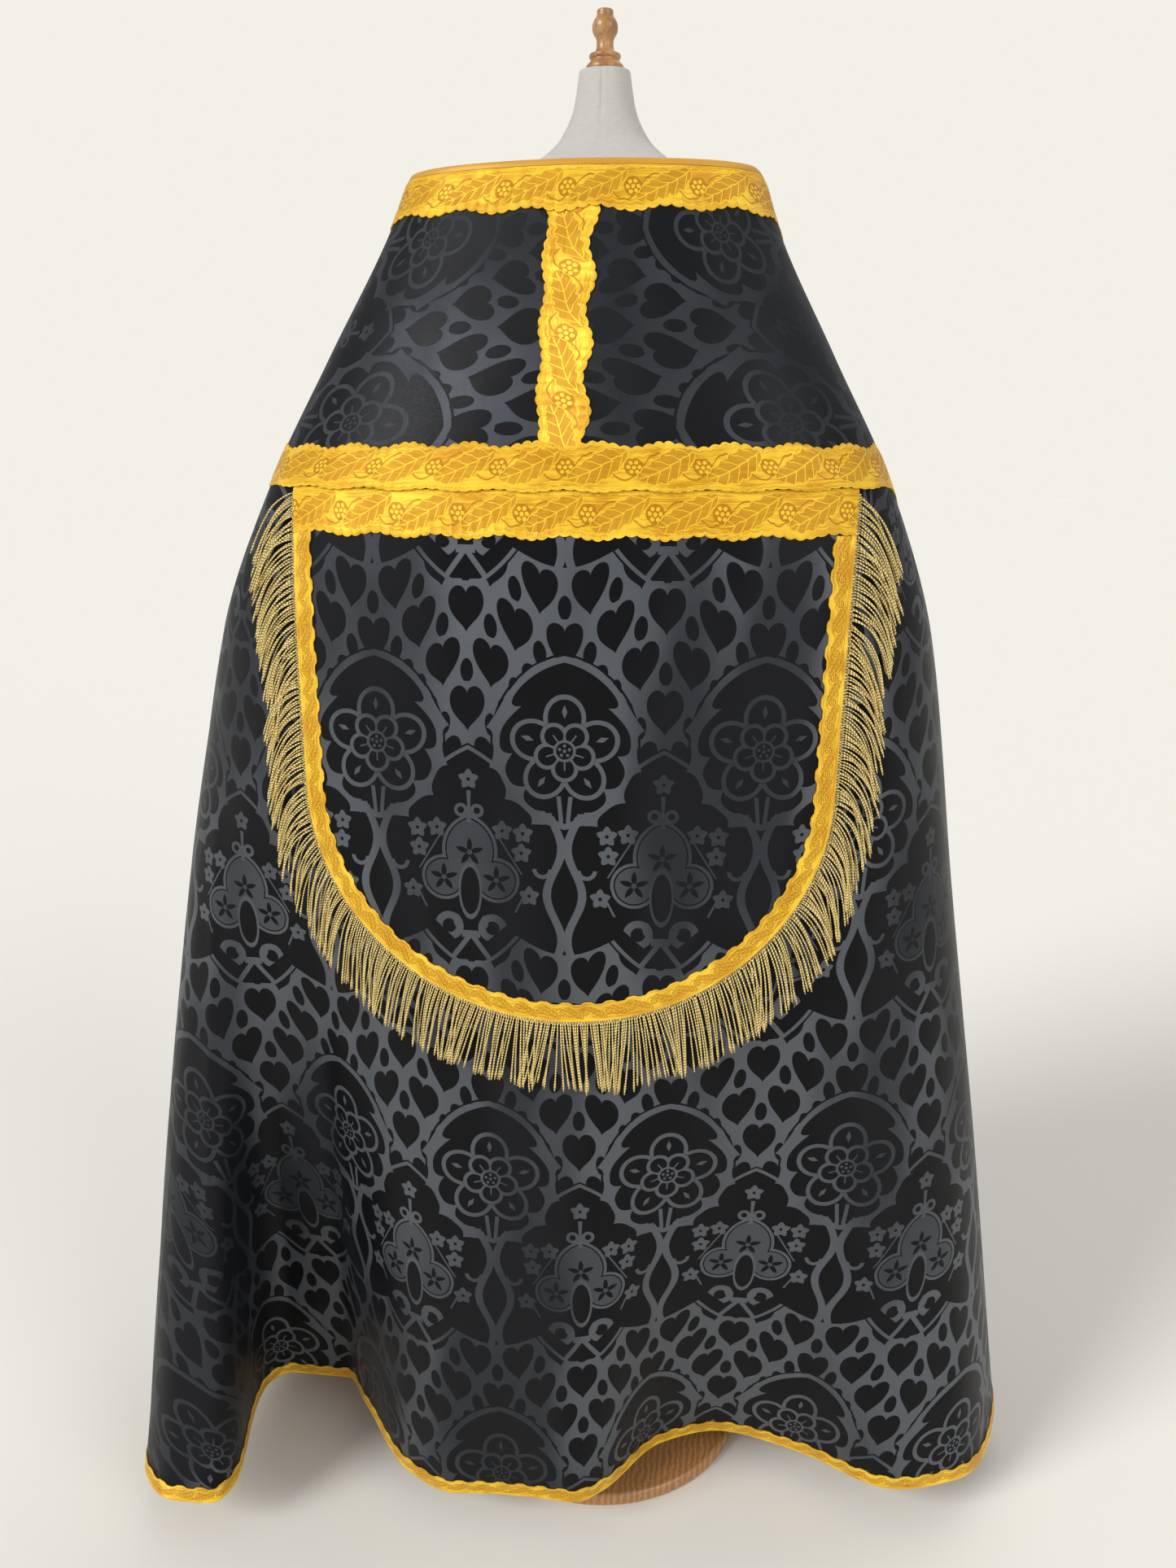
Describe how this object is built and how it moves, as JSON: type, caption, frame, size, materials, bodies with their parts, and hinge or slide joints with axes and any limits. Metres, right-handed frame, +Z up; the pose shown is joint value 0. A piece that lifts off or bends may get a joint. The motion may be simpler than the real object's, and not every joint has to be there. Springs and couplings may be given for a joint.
{
  "type": "cope vestment on a dress form",
  "caption": "Long black damask cope with gold galloon, a round-ended hood with bullion fringe and a folded hem, worn by a limbless dress form on a round stand.",
  "frame": {"origin": "on the floor, under the middle of the whole object's box; the stand's axis is at x = 18 mm", "axes": "+Z up; the back of the cope with its hood faces -Y and its open front faces +Y; +X is to the wearer's right"},
  "size_m": [1.0954, 0.6059, 1.75],
  "materials": {
    "black_damask": "black satin damask, figure a little greyer than the ground",
    "gold_galloon": "bright woven gold galloon",
    "gold_satin": "plain dark gold satin",
    "gold_bullion": "twisted pale gold cords",
    "form_cover": "plain matt cotton cover",
    "light_oak": "turned light oak, satin varnish"
  },
  "bodies": {
    "root": {"binding_neck": "gold_satin", "body_back": "black_damask", "form_base": "light_oak", "form_finial": "light_oak", "form_pole": "light_oak", "form_torso": "form_cover", "fringe_hood": "gold_bullion", "galloon_centre": "gold_galloon", "galloon_hem": "gold_galloon", "galloon_hem_left": "gold_galloon", "galloon_hem_right": "gold_galloon", "galloon_hood_edge": "gold_galloon", "galloon_hood_top": "gold_galloon", "galloon_neck": "gold_galloon", "galloon_orphrey": "gold_galloon", "gore_left": "black_damask", "gore_right": "black_damask", "hood": "black_damask", "morse": "black_damask", "orphrey_left": "black_damask", "orphrey_right": "black_damask"}
  },
  "joints": []
}
